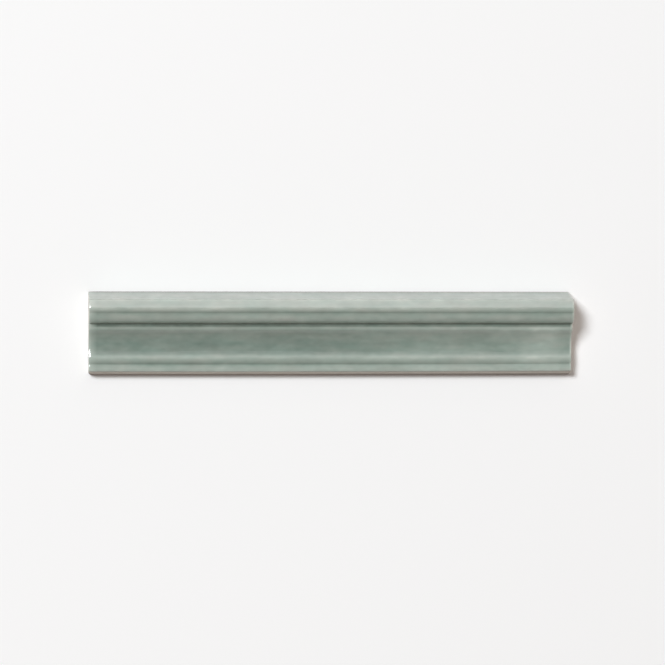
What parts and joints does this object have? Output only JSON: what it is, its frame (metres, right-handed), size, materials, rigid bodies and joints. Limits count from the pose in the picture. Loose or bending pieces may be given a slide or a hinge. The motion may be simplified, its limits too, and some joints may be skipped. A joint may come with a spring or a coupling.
{
  "type": "dado moulding tile",
  "caption": "Narrow glazed ceramic wall trim tile with a moulded section: an upper roll and bead, a fillet, a hollow cove, a low bead and a flat band, for capping or dividing a tiled wall.",
  "frame": {"origin": "middle of the back, on the plane of the wall", "axes": "+X along the rail, +Y towards the edge with the roll, which is the upper edge on a wall, +Z out of the wall"},
  "size_m": [0.2, 0.0346, 0.0167],
  "materials": {
    "celadon_glaze": "glossy sage green glaze on the moulded face, unglazed buff biscuit on the lower side, the ends and the back"
  },
  "bodies": {
    "root": {"dado_tile": "celadon_glaze"}
  },
  "joints": []
}
